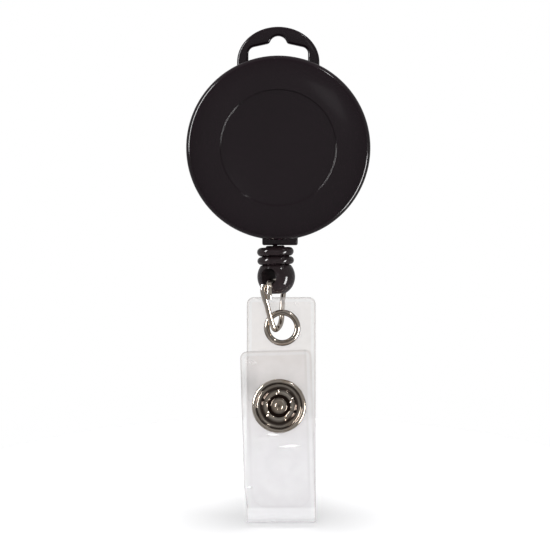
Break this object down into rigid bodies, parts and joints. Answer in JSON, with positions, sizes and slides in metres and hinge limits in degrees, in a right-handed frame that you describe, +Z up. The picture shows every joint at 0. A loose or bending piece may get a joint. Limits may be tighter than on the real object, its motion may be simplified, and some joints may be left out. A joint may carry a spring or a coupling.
{
  "type": "retractable badge reel",
  "caption": "Round pull-out badge reel with a top hanger, belt clip, ribbed cord end, wire link and a folded clear strap with a snap.",
  "frame": {"origin": "on the axis of the reel, at the rear face of the belt clip's plate, where a belt lies", "axes": "+Z up towards the hanger, the cord leaves towards -Z, the face looks along -Y, +X is to the right seen from the front"},
  "size_m": [0.032, 0.0152, 0.0864],
  "materials": {
    "black_plastic": "glossy near-black",
    "nickel": "bright nickel plate",
    "spring_steel": "plain sprung steel",
    "cord": "braided nylon",
    "vinyl": "frosty clear vinyl",
    "inner_plastic": "natural white"
  },
  "bodies": {
    "case": {"rear_case": "black_plastic", "front_cover": "black_plastic", "clip_plate": "spring_steel", "clip_rivet": "nickel", "rivet_washer": "spring_steel", "cord_feed": "cord"},
    "clip_tongue": {"clip_tongue": "spring_steel"},
    "spool": {"spool": "inner_plastic", "spring_cover": "inner_plastic", "power_spring": "spring_steel", "cord_winding": "cord", "cord_anchor_knot": "cord"},
    "cord_end": {"cord_lead": "cord", "cord_end_knot": "cord"},
    "fitting": {"end_fitting": "black_plastic"},
    "link": {"wire_link": "nickel"},
    "strap": {"strap_back_leaf": "vinyl", "strap_fold": "vinyl", "eyelet": "nickel", "eyelet_washer": "nickel", "snap_stud": "nickel", "snap_post": "nickel"},
    "strap_flap": {"strap_front_leaf": "vinyl", "snap_socket": "nickel", "snap_ring_spring": "spring_steel", "snap_cap": "nickel"}
  },
  "joints": [
    {"name": "cord_pull", "type": "slide", "parent": "case", "child": "cord_end", "axis": [0, 0, -1], "range_m": [0, 0.864], "stiffness_N_per_m": 0.8, "springref_m": -0.8, "deforming": ["cord_lead"]},
    {"name": "spool_spin", "type": "hinge", "parent": "case", "child": "spool", "pos_m": [0, -0.0038, 0], "axis": [0, 1, 0], "range_deg": [0, 4760], "deforming": ["power_spring"]},
    {"name": "end_swivel", "type": "hinge", "parent": "cord_end", "child": "fitting", "pos_m": [-0.00054, -0.0038, -0.0169], "axis": [-0.0332, 0, 0.9995], "continuous": true},
    {"name": "link_swing", "type": "hinge", "parent": "fitting", "child": "link", "pos_m": [-0.00036, -0.0038, -0.0224], "axis": [0.4537, 0.891, 0.0151], "range_deg": [-60, 60]},
    {"name": "strap_swing", "type": "hinge", "parent": "link", "child": "strap", "pos_m": [-0.00007, -0.0038, -0.0311], "axis": [1, 0, 0], "range_deg": [-15, 25]},
    {"name": "snap_open", "type": "hinge", "parent": "strap", "child": "strap_flap", "pos_m": [0.00052, -0.0054, -0.06327], "axis": [1, 0, 0], "range_deg": [0, 150], "deforming": ["strap_fold"]},
    {"name": "clip_flex", "type": "hinge", "parent": "case", "child": "clip_tongue", "pos_m": [0, 0.0049, 0.0108], "axis": [1, 0, 0], "range_deg": [0, 10], "stiffness_Nm_per_rad": 0.015, "springref_deg": -2.86}
  ],
  "couplings": [
    {"joint": "spool_spin", "follows": "cord_pull", "rad_per_m": 95.7}
  ]
}
